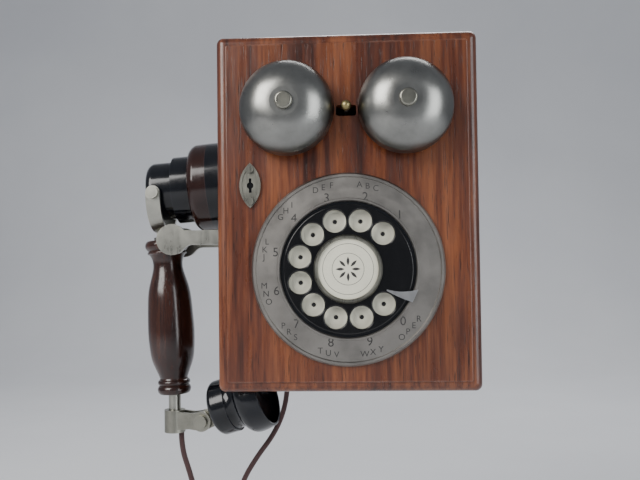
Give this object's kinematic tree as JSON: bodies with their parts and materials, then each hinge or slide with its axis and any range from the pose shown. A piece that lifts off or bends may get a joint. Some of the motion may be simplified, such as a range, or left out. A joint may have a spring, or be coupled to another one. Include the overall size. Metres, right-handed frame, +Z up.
{
  "type": "wall crank telephone",
  "caption": "Wooden wall telephone with a hinged front, rotary dial, bell gongs, a side switch hook and a hanging handset on a cord.",
  "frame": {"origin": "centre of the case's wall face", "axes": "+X to the right seen from the front, +Y into the wall, +Z up; the front faces -Y"},
  "size_m": [0.2107, 0.1179, 0.3854],
  "materials": {
    "door_wood": "satin lacquer, vertical grain",
    "case_wood": "satin lacquer",
    "back_wood": "raw plywood",
    "handle_wood": "gloss lacquer, dark",
    "ring_brown": "polished, dark red-brown",
    "pewter": "satin pewter plate",
    "dial_pewter": "antique pewter, brushed",
    "gong_pewter": "satin pewter, spun",
    "nickel": "satin nickel plate",
    "steel": "bright steel",
    "brass": "dulled brass",
    "black_plastic": "polished black",
    "black_dial": "polished black",
    "cream": "satin cream",
    "insulator": "phenolic board",
    "copper": "enamelled copper winding",
    "grommet_rubber": "matt rubber",
    "cord_cloth": "braided, dark maroon-brown"
  },
  "bodies": {
    "case": {"case_side_left": "case_wood", "case_side_right": "case_wood", "case_top": "case_wood", "case_bottom": "case_wood", "back_board": "back_wood", "door_catch_magnet": "insulator", "hinge_case_leaves": "brass", "hinge_pins": "brass", "case_screws": "brass", "cord_grommet": "grommet_rubber", "hook_slot_plate": "nickel", "hook_bracket": "steel", "hook_pivot_pin": "steel", "contact_springs": "brass", "contact_insulators": "insulator", "terminal_block": "insulator", "transformer_core": "steel", "transformer_winding": "copper", "capacitor": "pewter", "handset_cord": "cord_cloth"},
    "hook": {"hook_fork": "nickel"},
    "door": {"door_panel": "door_wood", "catch_keeper": "steel", "hinge_door_leaves": "brass", "keyhole_escutcheon": "pewter", "escutcheon_screws": "pewter", "gong_left": "gong_pewter", "gong_right": "gong_pewter", "gong_posts": "brass", "gong_screws": "pewter", "ringer_frame": "steel", "ringer_coils": "copper", "ringer_core": "steel", "number_ring": "dial_pewter", "dial_face": "cream", "dial_cup": "black_plastic", "finger_stop": "steel"},
    "clapper": {"clapper_armature": "steel", "clapper_ball": "brass"},
    "dial": {"finger_wheel": "black_dial", "hub_bezel": "pewter", "number_card": "cream", "dial_shaft": "steel", "main_spring": "steel", "main_gear": "brass"},
    "governor": {"governor_spindle": "brass"},
    "handset": {"handle": "handle_wood", "receiver_yoke": "nickel", "yoke_screws": "nickel", "stem_tube": "nickel", "stem_clamp": "pewter", "clamp_screw": "pewter"},
    "receiver": {"receiver_shell": "black_plastic", "receiver_ring": "ring_brown", "ear_cap": "black_plastic", "receiver_capsule": "pewter"},
    "transmitter": {"transmitter_lug": "pewter", "transmitter_cup": "black_plastic", "transmitter_capsule": "pewter", "mouthpiece": "black_plastic"}
  },
  "joints": [
    {"name": "handset_unhook", "type": "slide", "parent": "case", "child": "handset", "axis": [-0.96, 0, 0.28], "range_m": [0, 0.12], "deforming": ["handset_cord"]},
    {"name": "hook_lift", "type": "hinge", "parent": "case", "child": "hook", "pos_m": [-0.053, -0.045, -0.011], "axis": [0, 1, 0], "range_deg": [0, 8.2]},
    {"name": "door_swing", "type": "hinge", "parent": "case", "child": "door", "pos_m": [0.0694, -0.0735, 0], "axis": [0, 0, 1], "range_deg": [0, 90]},
    {"name": "dial_spin", "type": "hinge", "parent": "door", "child": "dial", "pos_m": [0, -0.09, -0.033], "axis": [0, 1, 0], "range_deg": [0, 325], "stiffness_Nm_per_rad": 0.01, "springref_deg": -57.3},
    {"name": "governor_spin", "type": "hinge", "parent": "door", "child": "governor", "pos_m": [0, -0.06, -0.063], "axis": [0, 1, 0], "range_deg": [-1305, 0]},
    {"name": "clapper_swing", "type": "hinge", "parent": "door", "child": "clapper", "pos_m": [0, -0.072, 0.027], "axis": [0, 1, 0], "range_deg": [-6, 6], "stiffness_Nm_per_rad": 0.02},
    {"name": "receiver_tilt", "type": "hinge", "parent": "handset", "child": "receiver", "pos_m": [-0.122, -0.045, 0.0172], "axis": [0, -1, 0], "range_deg": [0, 10]},
    {"name": "transmitter_tilt", "type": "hinge", "parent": "handset", "child": "transmitter", "pos_m": [-0.09461, -0.04852, -0.1285], "axis": [0.1736, 0.9848, 0], "range_deg": [0, 25]}
  ],
  "couplings": [
    {"joint": "hook_lift", "follows": "handset_unhook", "rad_per_m": 1.1636},
    {"joint": "governor_spin", "follows": "dial_spin", "ratio": -4}
  ]
}
